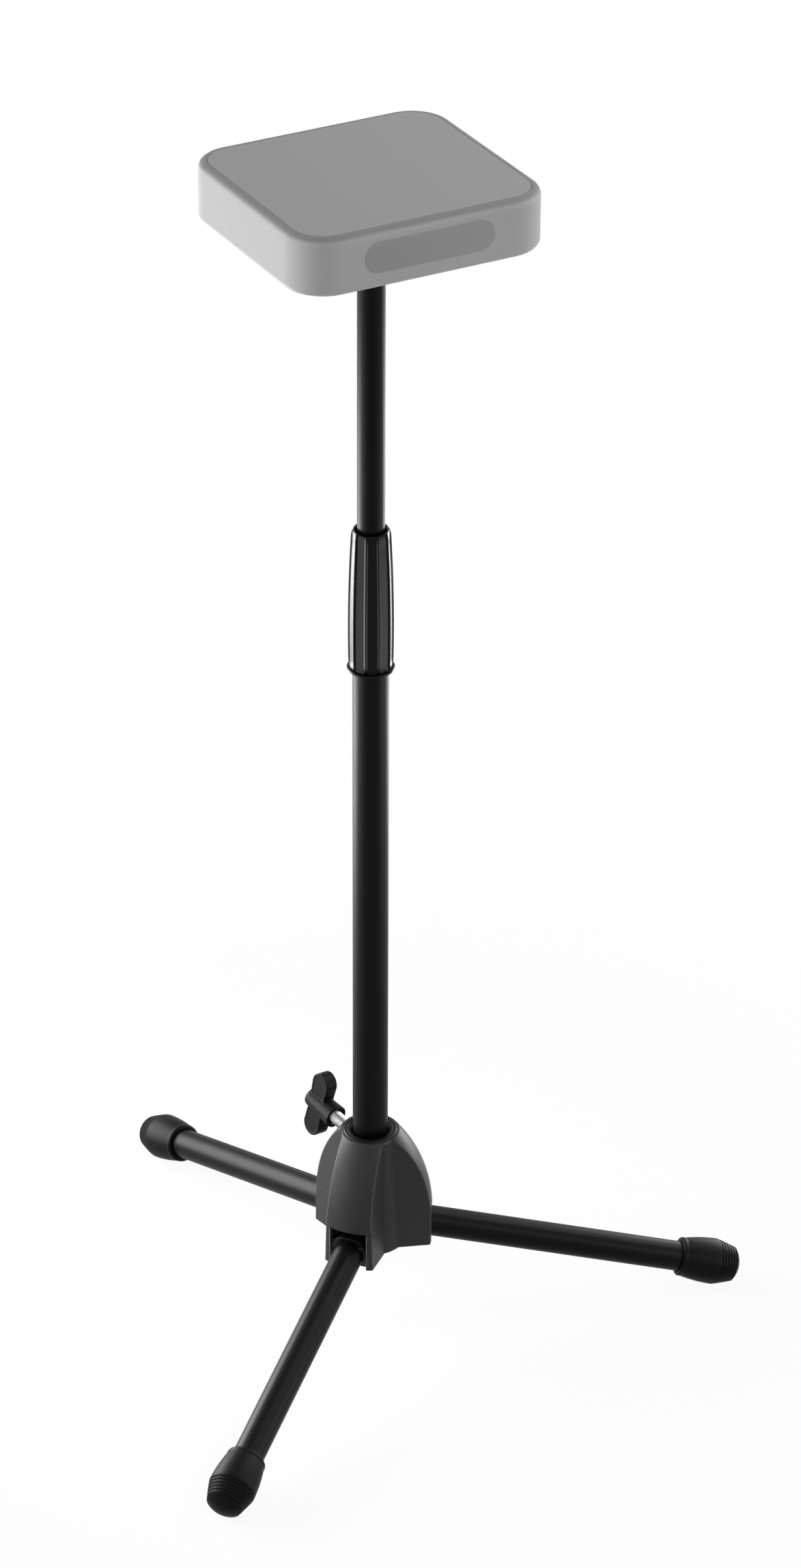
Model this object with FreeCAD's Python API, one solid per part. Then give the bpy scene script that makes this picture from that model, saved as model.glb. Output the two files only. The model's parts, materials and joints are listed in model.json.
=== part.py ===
import FreeCAD, Part
import math
import os

V = FreeCAD.Vector
UP = V(0, 0, 1)

# Fits and clearances
FIXED_GAP = 0.02
RUNNING_GAP = 0.05
LOOSE_GAP = 0.3
SEAT_GAP = 0.1
CUT_OVERRUN = 1.0

# Legs
LEG_AZIMUTHS = (-90.0, 30.0, 150.0)
LEG_TILT = 15.1
LEG_RADIUS = 11.1
LEG_WALL = 1.2
LEG_SHOWN = 197.4
PIN_RADIUS = 3.0
PIN_BEHIND_FACE = 13.8

# Leg roots, drawn with the leg along X, the pin along Y and up along Z
ROOT_WIDTH = 24.9
ROOT_TAIL_RADIUS = 12.4
ROOT_LENGTH = 9.0
ROOT_BELOW = 12.2
ROOT_ABOVE = 15.3
ROOT_ARCH_RADIUS = 10.2
ROOT_EDGE_FILLET = 0.6
ROOT_SOCKET_DEPTH = 2.8
ROOT_SPIGOT_REACH = 24.9

# Rubber feet
FOOT_RIM_RADIUS = 14.4
FOOT_RIM_LENGTH = 3.4
FOOT_RIM_ROUND = 1.4
FOOT_NECK_STEP = 0.2
FOOT_FLARE_LENGTH = 27.7
FOOT_WIDE_RADIUS = 17.2
FOOT_TAPER_LENGTH = 14.7
FOOT_END_RADIUS = 13.0
FOOT_DOME_HEIGHT = 4.7
FOOT_GROOVES = 6
FOOT_GROOVE_WIDTH = 0.8
FOOT_GROOVE_DEPTH = 0.65
FOOT_SOCKET_DEPTH = 31.6
FOOT_FLAT_DEPTH = 1.0

# Hub: a lower carrier for the legs and a dome above it
HUB_BELOW_PIN = 12.4
HUB_CEILING_ABOVE_PIN = 18.4
HUB_TOP_ABOVE_PIN = 81.7
HUB_REACH = 45.4
HUB_ARC_RADIUS = 106.2
HUB_ARC_FOOT_ABOVE_PIN = 13.0
LOBE_HALF_WIDTH_LOW = 18.6
LOBE_HALF_WIDTH_HIGH = 15.8
HUB_CORE_RADIUS_LOW = 26.0
HUB_CORE_RADIUS_HIGH = 20.2
LOBE_EDGE_FILLET = 0.8
LOBE_SPACING = 360.0 / len(LEG_AZIMUTHS)
SLOT_SIDE_ROOM = 1.6
SLOT_TAIL_ROOM = 0.7
PIN_END_SKIN = 1.5
LEDGE_THICKNESS = 4.5
LEDGE_HOLE_RADIUS = 6.8
CARRIER_RECESS_RADIUS = 10.2
CARRIER_RECESS_DEPTH = 22.6
HUB_SCREW_CIRCLE = 16.9
HUB_SCREW_RADIUS = 2.0
HUB_SCREW_HEAD_RADIUS = 3.4
HUB_SCREW_HEAD_HEIGHT = 3.0
HUB_SCREW_BITE = 12.4

# Column, its bush and its collar ring
COLUMN_RADIUS = 12.7
COLUMN_WALL = 1.5
COLUMN_SHOWN = 377.6
COLUMN_BORE_ROOM = 0.4
BUSH_RADIUS = 16.4
BUSH_LENGTH = 42.9
BUSH_BELOW_RING = 1.1
BUSH_MOUTH_RADIUS = 14.5
RING_RADIUS = 19.6
RING_INNER_RADIUS = 16.7
RING_THICKNESS = 2.5
RING_PROUD = 1.1
RING_ROUND = 0.5
CAP_FLANGE_THICKNESS = 2.3
CAP_SPIGOT_LENGTH = 13.6

# Wing screw, on the line of the last leg and rising outwards
CLAMP_RISE = 8.0
CLAMP_BELOW_TOP = 17.8
SCREW_RADIUS = 5.0
SCREW_SHOWN_TO = 40.5
KNOB_LENGTH = 30.0
KNOB_RADIUS = 8.8
KNOB_END_RADIUS = 7.2
KNOB_SOCKET_DEPTH = 18.1
KNOB_ROUND = 2.0
WING_LOBE_RADIUS = 8.6
WING_LOBE_OFFSET = 18.3
WING_LOBE_FROM_SHANK = 19.2
WING_THICKNESS = 9.5
WING_ROUND = 2.6
WING_LEAN = 7.0
SHOE_RADIUS = 3.8

# Clutch: thread bush, split collet and grip sleeve
SLEEVE_LENGTH = 106.9
SLEEVE_LIP_RADIUS = 17.1
SLEEVE_LIP_HEIGHT = 2.3
SLEEVE_LOW_RADIUS = 16.5
SLEEVE_WIDE_RADIUS = 16.9
SLEEVE_WIDE_HEIGHT = 29.4
SLEEVE_SHOULDER_RADIUS = 14.6
SLEEVE_SHOULDER_BELOW_TOP = 9.0
SLEEVE_TOP_RADIUS = 13.1
SLEEVE_CROWN_SHARE = 0.62
SLEEVE_MOUTH_ROOM = 1.5
SLEEVE_RIBS = 10
SLEEVE_RIB_WIDTH = 2.1
SLEEVE_RIB_HEIGHT = 0.5
SLEEVE_RIB_PHASE = 25.9
CLUTCH_SPIGOT_LENGTH = 33.9
CLUTCH_THREAD_LENGTH = 20.3
CLUTCH_THREAD_RADIUS = 12.5
COLLET_LENGTH = 13.6
COLLET_LOW_RADIUS = 12.2
COLLET_TOP_RADIUS = 11.3
COLLET_SLIT = 1.6
CLUTCH_BELOW_SLEEVE_TOP = 9.6

# Rod, its guide plug and its stud
ROD_RADIUS = 9.55
ROD_WALL = 1.2
ROD_SHOWN = 219.3
ROD_INSIDE = 296.1
GUIDE_LENGTH = 20.3
GUIDE_SPIGOT_LENGTH = 22.6
STUD_RADIUS = 4.0
STUD_LENGTH = 16.9
STUD_PLUG_LENGTH = 24.9

# Pad
PAD_YAW = 50.1
PAD_OFF_ROD_X = -1.8
PAD_OFF_ROD_Y = 0.8
PAD_WIDTH = 183.9
PAD_DEPTH = 172.2
PAD_THICKNESS = 40.5
PAD_CORNER_RADIUS = 28.0
PAD_TOP_FILLET = 5.6
PAD_BOTTOM_FILLET = 4.5
PAD_WALL = 14.1
PLAYING_PLATE_INSET = 6.0
PLAYING_PLATE_THICKNESS = 4.5
PLATE_SEAM = 0.3
BOTTOM_PLATE_INSET = 6.8
BOTTOM_PLATE_THICKNESS = 6.8
PORT_LENGTH = 91.1
PORT_HEIGHT = 17.2
PORT_RECESS = 1.4
PORT_PANEL_THICKNESS = 3.4
NOTCH_RADIUS = 2.5
NOTCH_FROM_MIDDLE = 5.1
FLANGE_RADIUS = 24.9
FLANGE_THICKNESS = 5.6
FLANGE_BOSS_RADIUS = 12.4
FLANGE_BOSS_HEIGHT = 18.1
FLANGE_SCREW_CIRCLE = 19.2
FLANGE_SCREW_COUNT = 4
FLANGE_SCREW_PHASE = 45.0
FLANGE_SCREW_RADIUS = 1.75
FLANGE_SCREW_HEAD_RADIUS = 3.2
FLANGE_SCREW_HEAD_HEIGHT = 2.0
FLANGE_SCREW_BITE = 4.0
PLATE_SCREW_RADIUS = 1.5
PLATE_SCREW_HEAD_RADIUS = 3.0
PLATE_SCREW_HEAD_HEIGHT = 2.2
PLATE_SCREW_LENGTH = 16.0

PIN_TO_COLUMN = HUB_REACH - PIN_BEHIND_FACE
SIN_RISE = math.sin(math.radians(CLAMP_RISE))
COS_RISE = math.cos(math.radians(CLAMP_RISE))
SCREW_START = (BUSH_RADIUS + SCREW_RADIUS * SIN_RISE) / COS_RISE + SEAT_GAP

# Heights, worked out from the floor upwards
SIN_TILT = math.sin(math.radians(LEG_TILT))
COS_TILT = math.cos(math.radians(LEG_TILT))
FOOT_START = ROOT_LENGTH + LEG_SHOWN
FOOT_WIDE_AT = FOOT_START + FOOT_FLARE_LENGTH
PIN_HEIGHT = FOOT_WIDE_AT * SIN_TILT + FOOT_WIDE_RADIUS * COS_TILT - FOOT_FLAT_DEPTH
HUB_LOW = PIN_HEIGHT - HUB_BELOW_PIN
HUB_CEILING = PIN_HEIGHT + HUB_CEILING_ABOVE_PIN
HUB_TOP = PIN_HEIGHT + HUB_TOP_ABOVE_PIN
DOME_TOP = HUB_TOP - RING_PROUD
RING_SEAT = HUB_TOP - RING_THICKNESS
BUSH_HIGH = HUB_TOP - BUSH_BELOW_RING
BUSH_LOW = BUSH_HIGH - BUSH_LENGTH
LEDGE_HEIGHT = HUB_CEILING + LEDGE_THICKNESS
CLAMP_HEIGHT = HUB_TOP - CLAMP_BELOW_TOP
COLUMN_LOW = LEDGE_HEIGHT + SEAT_GAP + CAP_FLANGE_THICKNESS
SLEEVE_LOW = HUB_TOP + COLUMN_SHOWN
SLEEVE_TOP = SLEEVE_LOW + SLEEVE_LENGTH
COLLET_TOP = SLEEVE_TOP - CLUTCH_BELOW_SLEEVE_TOP
COLLET_LOW = COLLET_TOP - COLLET_LENGTH
COLUMN_HIGH = COLLET_LOW - CLUTCH_THREAD_LENGTH
PAD_LOW = SLEEVE_TOP + ROD_SHOWN
PAD_TOP = PAD_LOW + PAD_THICKNESS
ROD_LOW = SLEEVE_TOP - ROD_INSIDE
ROD_HIGH = PAD_LOW + BOTTOM_PLATE_THICKNESS - SEAT_GAP

COLUMN_INNER = COLUMN_RADIUS - COLUMN_WALL
ROD_INNER = ROD_RADIUS - ROD_WALL
LEG_INNER = LEG_RADIUS - LEG_WALL


def cylinder(radius, low, high):
    return Part.makeCylinder(radius, high - low, V(0, 0, low))


def tube(outer, inner, low, high):
    return cylinder(outer, low, high).cut(cylinder(inner, low - CUT_OVERRUN, high + CUT_OVERRUN))


def rod_along_x(radius, start, end):
    return Part.makeCylinder(radius, end - start, V(start, 0, 0), V(1, 0, 0))


def rod_along_y(radius, half_length):
    return Part.makeCylinder(radius, 2 * half_length, V(0, -half_length, 0), V(0, 1, 0))


def turned(edges):
    """Solid of revolution about Z from the edges of a closed outline in the XZ plane."""
    face = Part.Face(Part.Wire(edges))
    return face.revolve(V(0, 0, 0), UP, 360)


def line(start, end):
    return Part.LineSegment(V(start[0], 0, start[1]), V(end[0], 0, end[1])).toShape()


def arc(start, middle, end):
    points = [V(radius, 0, height) for radius, height in (start, middle, end)]
    return Part.Arc(*points).toShape()


def outline(points):
    """Closed outline of straight edges through points of radius and height."""
    return [line(a, b) for a, b in zip(points, points[1:] + points[:1])]


def about_z(shape, degrees):
    turned_shape = shape.copy()
    turned_shape.rotate(V(0, 0, 0), UP, degrees)
    return turned_shape


def polar(radius, degrees, height=0.0):
    angle = math.radians(degrees)
    return V(radius * math.cos(angle), radius * math.sin(angle), height)


def fuse_all(shapes):
    return shapes[0].multiFuse(shapes[1:]).removeSplitter()


# Hub

def dome_radius(height):
    """Outside radius of the hub's lobes at a height."""
    rise = max(0.0, height - PIN_HEIGHT - HUB_ARC_FOOT_ABOVE_PIN)
    return HUB_REACH - HUB_ARC_RADIUS + math.sqrt(HUB_ARC_RADIUS ** 2 - rise ** 2)


def between(low, high, height):
    """Size at a height of the hub that goes evenly from one at its bottom to one at its top."""
    return low + (high - low) * (height - HUB_LOW) / (HUB_TOP - HUB_LOW)


def lobe_half_width(height):
    return between(LOBE_HALF_WIDTH_LOW, LOBE_HALF_WIDTH_HIGH, height)


def lobe_plan(height):
    """Three straight-sided lobes on a round core, as one wire."""
    half_width = lobe_half_width(height)
    core = between(HUB_CORE_RADIUS_LOW, HUB_CORE_RADIUS_HIGH, height)
    near = math.sqrt(core ** 2 - half_width ** 2)
    far = 2 * HUB_REACH
    edges = []
    for azimuth in LEG_AZIMUTHS:
        along = polar(1, azimuth)
        across = polar(1, azimuth + 90)
        lift = V(0, 0, height)
        left_far = along * far - across * half_width + lift
        right_far = along * far + across * half_width + lift
        right_near = along * near + across * half_width + lift
        left_near = along * near - across * half_width + lift
        next_left_near = about_z(Part.Vertex(left_near), LOBE_SPACING).Point
        core_middle = polar(core, azimuth + LOBE_SPACING / 2, height)
        edges.append(Part.LineSegment(left_near, left_far).toShape())
        edges.append(Part.LineSegment(left_far, right_far).toShape())
        edges.append(Part.LineSegment(right_far, right_near).toShape())
        edges.append(Part.Arc(right_near, core_middle, next_left_near).toShape())
    return Part.Wire(edges)


def hub_envelope():
    arc_foot = PIN_HEIGHT + HUB_ARC_FOOT_ABOVE_PIN
    arc_middle = (arc_foot + DOME_TOP) / 2
    corner = (HUB_REACH, HUB_LOW)
    foot = (HUB_REACH, arc_foot)
    middle = (dome_radius(arc_middle), arc_middle)
    top = (dome_radius(DOME_TOP), DOME_TOP)
    edges = [line((0, HUB_LOW), corner), line(corner, foot), arc(foot, middle, top)]
    edges += [line(top, (0, DOME_TOP)), line((0, DOME_TOP), (0, HUB_LOW))]
    lobes = Part.makeLoft([lobe_plan(HUB_LOW), lobe_plan(HUB_TOP)], True, True)
    body = turned(edges).common(lobes)
    return body.makeFillet(LOBE_EDGE_FILLET, [edge for edge in body.Edges if is_lobe_edge(edge)])


def is_lobe_edge(edge):
    """True for the edges where a lobe's outer face meets its flat sides."""
    point = edge.valueAt((edge.FirstParameter + edge.LastParameter) / 2)
    on_dome = abs(math.hypot(point.x, point.y) - dome_radius(point.z)) < FIXED_GAP
    return on_dome and abs(edge.BoundBox.ZLength) > LOBE_EDGE_FILLET


def hub_screws(gap):
    """Three screws from below that hold the dome on the carrier, grown by a gap."""
    screws = []
    for azimuth in LEG_AZIMUTHS:
        shank = cylinder(HUB_SCREW_RADIUS + gap, HUB_LOW, HUB_CEILING + HUB_SCREW_BITE + gap)
        head_high = HUB_LOW + HUB_SCREW_HEAD_HEIGHT
        head = cylinder(HUB_SCREW_HEAD_RADIUS + gap, HUB_LOW, head_high + gap)
        screw = shank.fuse(head).removeSplitter()
        screw.translate(polar(HUB_SCREW_CIRCLE, azimuth + LOBE_SPACING / 2))
        screws.append(screw)
    return screws


def leg_carrier():
    slab = Part.makeBox(4 * HUB_REACH, 4 * HUB_REACH, HUB_CEILING - HUB_LOW)
    slab.translate(V(-2 * HUB_REACH, -2 * HUB_REACH, HUB_LOW))
    body = hub_envelope().common(slab)
    slot_back = PIN_TO_COLUMN - ROOT_TAIL_RADIUS - SLOT_TAIL_ROOM
    height = HUB_CEILING - HUB_LOW + 2 * CUT_OVERRUN
    half_width = ROOT_WIDTH / 2 + SLOT_SIDE_ROOM
    slot = Part.makeBox(2 * HUB_REACH, 2 * half_width, height)
    slot.translate(V(slot_back, -half_width, HUB_LOW - CUT_OVERRUN))
    pin_half = pin_half_length() + FIXED_GAP
    groove = rod_along_y(PIN_RADIUS + FIXED_GAP, pin_half)
    groove.translate(V(PIN_TO_COLUMN, 0, PIN_HEIGHT))
    groove_half = PIN_RADIUS + FIXED_GAP
    rise = HUB_CEILING - PIN_HEIGHT + CUT_OVERRUN
    way_in = Part.makeBox(2 * groove_half, 2 * pin_half, rise)
    way_in.translate(V(PIN_TO_COLUMN - groove_half, -pin_half, PIN_HEIGHT))
    cutter = slot.fuse(groove).fuse(way_in)
    cuts = [about_z(cutter, azimuth) for azimuth in LEG_AZIMUTHS] + hub_screws(FIXED_GAP)
    cuts.append(cylinder(CARRIER_RECESS_RADIUS, HUB_LOW - CUT_OVERRUN, HUB_LOW + CARRIER_RECESS_DEPTH))
    return body.cut(cuts)


def hub_dome():
    slab = Part.makeBox(4 * HUB_REACH, 4 * HUB_REACH, HUB_TOP - HUB_CEILING)
    slab.translate(V(-2 * HUB_REACH, -2 * HUB_REACH, HUB_CEILING))
    body = hub_envelope().common(slab)
    cuts = hub_screws(FIXED_GAP)
    cuts.append(cylinder(LEDGE_HOLE_RADIUS, HUB_CEILING - CUT_OVERRUN, LEDGE_HEIGHT + CUT_OVERRUN))
    cuts.append(cylinder(COLUMN_RADIUS + COLUMN_BORE_ROOM, LEDGE_HEIGHT, HUB_TOP))
    cuts.append(cylinder(BUSH_RADIUS + FIXED_GAP, BUSH_LOW, HUB_TOP))
    cuts.append(cylinder(RING_RADIUS + FIXED_GAP, RING_SEAT, HUB_TOP))
    cuts.append(on_clamp_line(rod_along_x(SCREW_RADIUS + RUNNING_GAP, COLUMN_RADIUS, 2 * HUB_REACH)))
    return body.cut(cuts)


def collar_ring():
    ring = tube(RING_RADIUS, RING_INNER_RADIUS, RING_SEAT, HUB_TOP)
    rims = [edge for edge in ring.Edges if abs(edge.BoundBox.ZMin - HUB_TOP) < FIXED_GAP
            and edge.BoundBox.ZLength < FIXED_GAP]
    return ring.makeFillet(RING_ROUND, rims)


def column_bush():
    inner = COLUMN_RADIUS + RUNNING_GAP
    flare = BUSH_MOUTH_RADIUS - inner
    points = [(inner, BUSH_LOW), (BUSH_RADIUS, BUSH_LOW), (BUSH_RADIUS, BUSH_HIGH)]
    points += [(BUSH_MOUTH_RADIUS, BUSH_HIGH), (inner, BUSH_HIGH - flare)]
    hole = on_clamp_line(rod_along_x(SHOE_RADIUS + FIXED_GAP, 0, SCREW_START + CUT_OVERRUN))
    return turned(outline(points)).cut(hole)


# Legs

def pin_half_length():
    return lobe_half_width(PIN_HEIGHT) - PIN_END_SKIN


def on_leg_line(shape, azimuth):
    """Moves a shape from the leg's own axes to its place under the hub."""
    placed = shape.copy()
    placed.rotate(V(0, 0, 0), V(0, 1, 0), LEG_TILT)
    placed.translate(V(PIN_TO_COLUMN, 0, PIN_HEIGHT))
    return about_z(placed, azimuth)


def leg_pin():
    return rod_along_y(PIN_RADIUS, pin_half_length())


def leg_root():
    half = ROOT_WIDTH / 2
    tail = rod_along_y(ROOT_TAIL_RADIUS, half)
    block = Part.makeBox(ROOT_LENGTH, ROOT_WIDTH, ROOT_ABOVE + ROOT_BELOW, V(0, -half, -ROOT_BELOW))
    arch_low = -ROOT_TAIL_RADIUS - CUT_OVERRUN
    arch_length = ROOT_TAIL_RADIUS + ROOT_LENGTH + 2 * CUT_OVERRUN
    arch = Part.makeBox(arch_length, ROOT_WIDTH, ROOT_ABOVE - arch_low,
                        V(-ROOT_TAIL_RADIUS - CUT_OVERRUN, -half, arch_low))
    crown = [edge for edge in arch.Edges if edge.BoundBox.XLength > arch_length - FIXED_GAP
             and edge.BoundBox.ZMin > ROOT_ABOVE - FIXED_GAP]
    body = tail.fuse(block).removeSplitter().common(arch.makeFillet(ROOT_ARCH_RADIUS, crown))
    front = [edge for edge in body.Edges if edge.BoundBox.XMin > ROOT_LENGTH - FIXED_GAP]
    body = body.makeFillet(ROOT_EDGE_FILLET, front)
    socket_floor = ROOT_LENGTH - ROOT_SOCKET_DEPTH
    body = body.cut(rod_along_x(LEG_RADIUS + FIXED_GAP, socket_floor, ROOT_LENGTH + CUT_OVERRUN))
    spigot_end = ROOT_LENGTH + ROOT_SPIGOT_REACH
    spigot = rod_along_x(LEG_INNER - FIXED_GAP, socket_floor - CUT_OVERRUN, spigot_end)
    body = body.fuse(spigot).removeSplitter()
    return body.cut(rod_along_y(PIN_RADIUS + RUNNING_GAP, ROOT_WIDTH))


def leg_tube():
    start = ROOT_LENGTH - ROOT_SOCKET_DEPTH + SEAT_GAP
    end = FOOT_START + FOOT_SOCKET_DEPTH - SEAT_GAP
    hollow = rod_along_x(LEG_INNER, start - CUT_OVERRUN, end + CUT_OVERRUN)
    return rod_along_x(LEG_RADIUS, start, end).cut(hollow)


def foot_outline():
    """Outline of a rubber foot as radius and distance from its rim, out to the dome."""
    neck = FOOT_RIM_RADIUS - FOOT_NECK_STEP
    points = [(FOOT_RIM_RADIUS - FOOT_RIM_ROUND, 0.0), (FOOT_RIM_RADIUS, FOOT_RIM_ROUND)]
    points += [(FOOT_RIM_RADIUS, FOOT_RIM_LENGTH - FOOT_NECK_STEP), (neck, FOOT_RIM_LENGTH)]
    points.append((FOOT_WIDE_RADIUS, FOOT_FLARE_LENGTH))
    pitch = FOOT_TAPER_LENGTH / FOOT_GROOVES
    slope = (FOOT_WIDE_RADIUS - FOOT_END_RADIUS) / FOOT_TAPER_LENGTH
    groove = [(pitch - FOOT_GROOVE_WIDTH, 0.0)]
    groove.append((pitch - FOOT_GROOVE_WIDTH / 2, FOOT_GROOVE_DEPTH))
    groove.append((pitch, 0.0))
    for number in range(FOOT_GROOVES):
        for offset, depth in groove:
            along = number * pitch + offset
            radius = FOOT_WIDE_RADIUS - slope * along - depth
            points.append((radius, FOOT_FLARE_LENGTH + along))
    return points


def leg_foot():
    bore = LEG_RADIUS + FIXED_GAP
    points = [(0.0, FOOT_SOCKET_DEPTH), (bore, FOOT_SOCKET_DEPTH), (bore, 0.0)] + foot_outline()
    end = points[-1]
    tip = (0.0, end[1] + FOOT_DOME_HEIGHT)
    dome = (end[0] ** 2 + FOOT_DOME_HEIGHT ** 2) / (2 * FOOT_DOME_HEIGHT)
    half_angle = math.asin(end[0] / dome) / 2
    middle = (dome * math.sin(half_angle), tip[1] - dome * (1 - math.cos(half_angle)))
    edges = [line(a, b) for a, b in zip(points, points[1:])]
    edges += [arc(end, middle, tip), line(tip, points[0])]
    foot = turned(edges)
    foot.rotate(V(0, 0, 0), V(0, 1, 0), 90)
    foot.translate(V(FOOT_START, 0, 0))
    return foot


def cut_at_floor(shape):
    reach = 2 * (PIN_TO_COLUMN + FOOT_WIDE_AT + FOOT_TAPER_LENGTH)
    under_floor = Part.makeBox(2 * reach, 2 * reach, reach, V(-reach, -reach, -reach))
    return shape.cut(under_floor)


# Wing screw

def on_clamp_line(shape):
    """Moves a shape from the X axis to the line of the clamp screw."""
    placed = shape.copy()
    placed.rotate(V(0, 0, 0), V(0, 1, 0), -CLAMP_RISE)
    placed.translate(V(0, 0, CLAMP_HEIGHT))
    return about_z(placed, LEG_AZIMUTHS[-1])


def clamp_shoe():
    shoe = on_clamp_line(rod_along_x(SHOE_RADIUS, 0, SCREW_START - SEAT_GAP))
    return shoe.cut(cylinder(COLUMN_RADIUS + SEAT_GAP, HUB_LOW, SLEEVE_LOW))


def screw_shank():
    end = SCREW_SHOWN_TO + KNOB_SOCKET_DEPTH
    return on_clamp_line(rod_along_x(SCREW_RADIUS, SCREW_START, end))


def wing_plate():
    """Flat plate of the two wings, with the screw along X and the wings along Z."""
    middle = SCREW_SHOWN_TO + WING_LOBE_FROM_SHANK
    half = WING_THICKNESS / 2
    plates = []
    for offset in (-WING_LOBE_OFFSET, WING_LOBE_OFFSET):
        centre = V(middle, -half, offset)
        plates.append(Part.makeCylinder(WING_LOBE_RADIUS, WING_THICKNESS, centre, V(0, 1, 0)))
    web = Part.makeBox(2 * WING_LOBE_RADIUS, WING_THICKNESS, 2 * WING_LOBE_OFFSET,
                       V(middle - WING_LOBE_RADIUS, -half, -WING_LOBE_OFFSET))
    plate = fuse_all(plates + [web])
    rims = [edge for edge in plate.Edges if edge.BoundBox.YLength < FIXED_GAP]
    return plate.makeFillet(WING_ROUND, rims)


def wing_knob():
    end = SCREW_SHOWN_TO + KNOB_LENGTH
    start = V(SCREW_SHOWN_TO, 0, 0)
    barrel = Part.makeCone(KNOB_RADIUS, KNOB_END_RADIUS, KNOB_LENGTH, start, V(1, 0, 0))
    rims = [edge for edge in barrel.Edges if edge.BoundBox.XMin > end - FIXED_GAP]
    barrel = barrel.makeFillet(KNOB_ROUND, rims)
    knob = barrel.fuse(wing_plate()).removeSplitter()
    knob.rotate(V(0, 0, 0), V(1, 0, 0), WING_LEAN)
    socket = rod_along_x(SCREW_RADIUS + FIXED_GAP, 0, SCREW_SHOWN_TO + KNOB_SOCKET_DEPTH + FIXED_GAP)
    return on_clamp_line(knob.cut(socket))


# Column and clutch

def column_tube():
    return tube(COLUMN_RADIUS, COLUMN_INNER, COLUMN_LOW, COLUMN_HIGH)


def column_end_cap():
    flange = cylinder(COLUMN_RADIUS, COLUMN_LOW - CAP_FLANGE_THICKNESS, COLUMN_LOW)
    spigot = cylinder(COLUMN_INNER - FIXED_GAP, COLUMN_LOW, COLUMN_LOW + CAP_SPIGOT_LENGTH)
    return flange.fuse(spigot).removeSplitter()


def clutch_thread_bush():
    bore = ROD_RADIUS + RUNNING_GAP
    spigot = COLUMN_INNER - FIXED_GAP
    low = COLUMN_HIGH - CLUTCH_SPIGOT_LENGTH
    thread = CLUTCH_THREAD_RADIUS
    points = [(bore, low), (spigot, low), (spigot, COLUMN_HIGH), (thread, COLUMN_HIGH)]
    points += [(thread, COLLET_LOW), (bore, COLLET_LOW)]
    return turned(outline(points))


def clutch_collet():
    bore = ROD_RADIUS + RUNNING_GAP
    points = [(bore, COLLET_LOW), (COLLET_LOW_RADIUS, COLLET_LOW), (COLLET_TOP_RADIUS, COLLET_TOP)]
    points.append((bore, COLLET_TOP))
    slit = Part.makeBox(2 * COLLET_LOW_RADIUS, COLLET_SLIT, COLLET_LENGTH + 2 * CUT_OVERRUN,
                        V(0, -COLLET_SLIT / 2, COLLET_LOW - CUT_OVERRUN))
    return turned(outline(points)).cut(slit)


def sleeve_hollow():
    """Space inside the grip sleeve: column, thread bush, collet cone and mouth."""
    wide = COLUMN_RADIUS + LOOSE_GAP
    mouth = ROD_RADIUS + SLEEVE_MOUTH_ROOM
    cone_low = COLLET_LOW + LOOSE_GAP
    cone_high = SLEEVE_TOP - CLUTCH_BELOW_SLEEVE_TOP / 2
    points = [(0, SLEEVE_LOW - CUT_OVERRUN), (wide, SLEEVE_LOW - CUT_OVERRUN), (wide, cone_low)]
    points += [(mouth, cone_high), (mouth, SLEEVE_TOP + CUT_OVERRUN), (0, SLEEVE_TOP + CUT_OVERRUN)]
    return turned(outline(points))


def sleeve_skin(depth):
    """Barrel shape of the grip sleeve, drawn in by a depth between its lip and its shoulder."""
    lip_high = SLEEVE_LOW + SLEEVE_LIP_HEIGHT
    shoulder = SLEEVE_TOP - SLEEVE_SHOULDER_BELOW_TOP
    low = (SLEEVE_LOW_RADIUS - depth, lip_high)
    wide = (SLEEVE_WIDE_RADIUS - depth, SLEEVE_LOW + SLEEVE_WIDE_HEIGHT)
    high = (SLEEVE_SHOULDER_RADIUS - depth, shoulder)
    top = (SLEEVE_TOP_RADIUS, SLEEVE_TOP)
    crown_height = shoulder + SLEEVE_SHOULDER_BELOW_TOP * SLEEVE_CROWN_SHARE
    crown = ((high[0] + top[0]) / 2 + SLEEVE_RIB_HEIGHT, crown_height)
    lip = (SLEEVE_LIP_RADIUS, SLEEVE_LOW)
    lip_top = (SLEEVE_LIP_RADIUS, lip_high)
    edges = [line((0, SLEEVE_LOW), lip), line(lip, lip_top), line(lip_top, low)]
    edges += [arc(low, wide, high), arc(high, crown, top)]
    edges += [line(top, (0, SLEEVE_TOP)), line((0, SLEEVE_TOP), (0, SLEEVE_LOW))]
    return turned(edges)


def grip_sleeve():
    ribs = []
    for number in range(SLEEVE_RIBS):
        rib = Part.makeBox(2 * SLEEVE_LIP_RADIUS, SLEEVE_RIB_WIDTH, SLEEVE_LENGTH,
                           V(0, -SLEEVE_RIB_WIDTH / 2, SLEEVE_LOW))
        ribs.append(about_z(rib, SLEEVE_RIB_PHASE + number * 360 / SLEEVE_RIBS))
    star = ribs[0].multiFuse(ribs[1:])
    ribbed = sleeve_skin(0).common(star)
    return sleeve_skin(SLEEVE_RIB_HEIGHT).fuse(ribbed).removeSplitter().cut(sleeve_hollow())


# Rod

def rod_tube():
    return tube(ROD_RADIUS, ROD_INNER, ROD_LOW, ROD_HIGH)


def rod_guide_plug():
    high = ROD_LOW - SEAT_GAP
    slider = cylinder(COLUMN_INNER - RUNNING_GAP, high - GUIDE_LENGTH, high)
    spigot = cylinder(ROD_INNER - RUNNING_GAP, high, high + GUIDE_SPIGOT_LENGTH)
    return slider.fuse(spigot).removeSplitter()


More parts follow.
